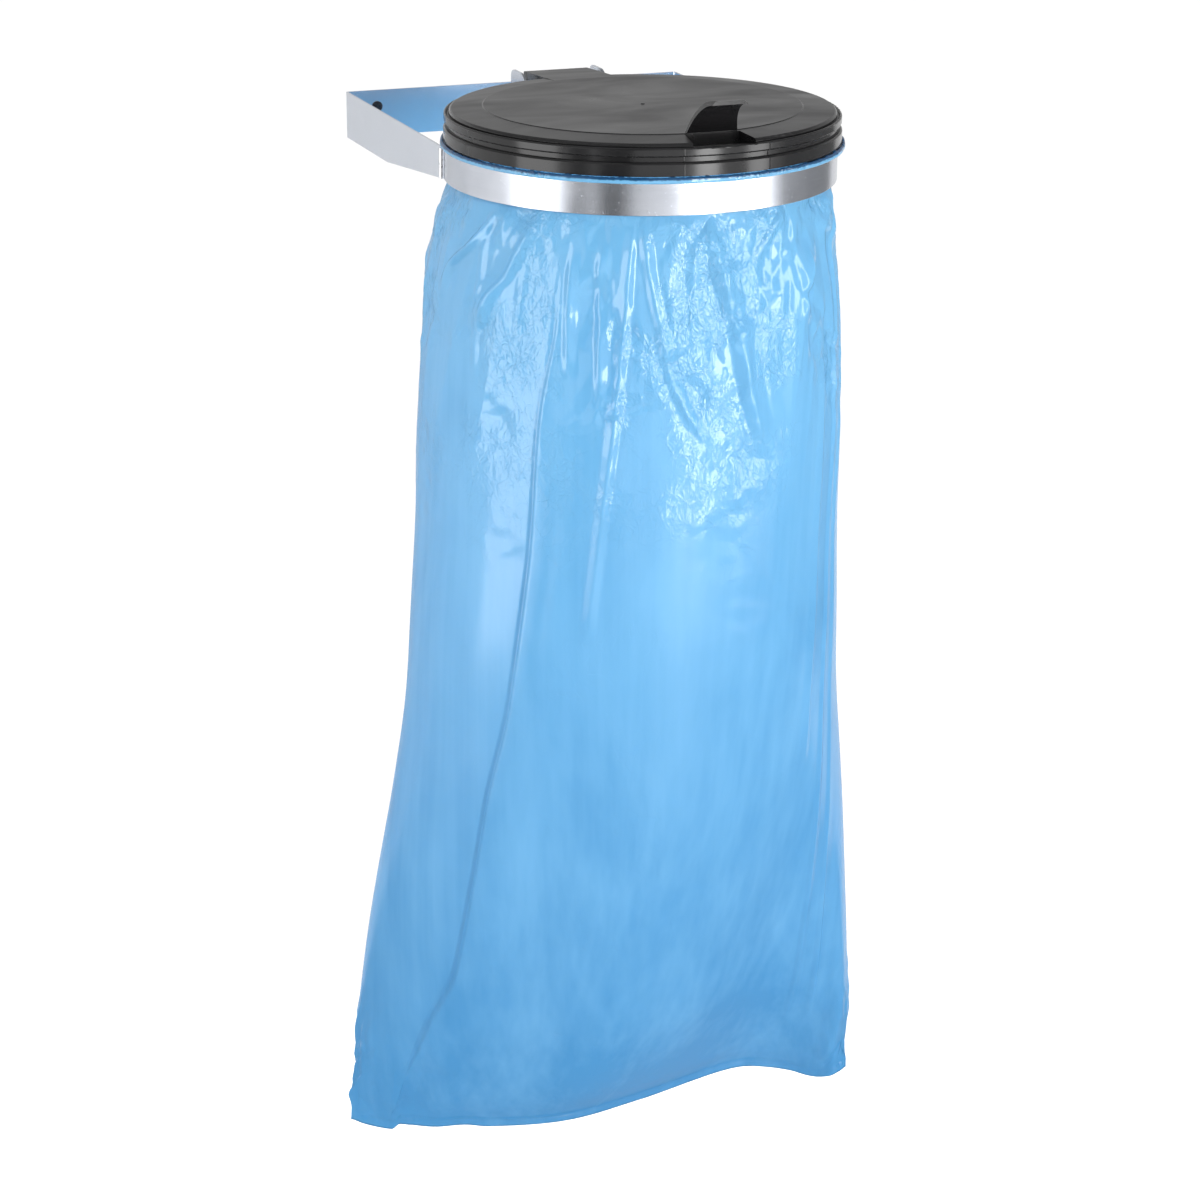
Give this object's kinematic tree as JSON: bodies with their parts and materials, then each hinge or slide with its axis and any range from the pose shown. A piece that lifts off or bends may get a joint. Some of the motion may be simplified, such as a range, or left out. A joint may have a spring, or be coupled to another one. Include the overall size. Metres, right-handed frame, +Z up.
{
  "type": "wall-mounted refuse bag holder",
  "caption": "Wall bracket with a steel hoop that holds an open refuse bag under a hinged black plastic lid.",
  "frame": {"origin": "midway between the two wall screws, on the wall plane", "axes": "+Z up, +Y into the wall, the holder stands out towards -Y, +X to the right seen from the front"},
  "size_m": [0.5808, 0.6585, 1.1729],
  "materials": {
    "galvanised_sheet": "matt galvanised sheet, light lavender grey",
    "galvanised_strip": "bright galvanised strip, satin gloss with fine specks",
    "ring_steel": "plain galvanised ring, mostly under film",
    "weld_metal": "rippled weld bead, galvanised over",
    "pin_steel": "zinc plated",
    "screw_steel": "dark passivated",
    "nylon": "plain black nylon bush",
    "lid_plastic": "black injection moulding, satin top and glossy skirt",
    "bag_film": "thin translucent blue polyethylene film"
  },
  "bodies": {
    "holder": {"wall_bracket": "galvanised_sheet", "hoop_band": "galvanised_strip", "arm_weld_left": "weld_metal", "arm_weld_right": "weld_metal", "hinge_bracket": "galvanised_sheet", "hinge_weld_left": "weld_metal", "hinge_weld_right": "weld_metal", "hinge_pin": "pin_steel", "pin_cap_left": "pin_steel", "pin_cap_right": "pin_steel", "hinge_spacer_left": "nylon", "hinge_spacer_right": "nylon", "bag_clamp_ring": "ring_steel", "refuse_bag": "bag_film", "wall_screw_left": "screw_steel", "wall_screw_right": "screw_steel"},
    "lid": {"lid": "lid_plastic"}
  },
  "joints": [
    {"name": "lid_hinge", "type": "hinge", "parent": "holder", "child": "lid", "pos_m": [0, -0.153, 0.026], "axis": [-1, 0, 0], "range_deg": [0, 100]}
  ]
}
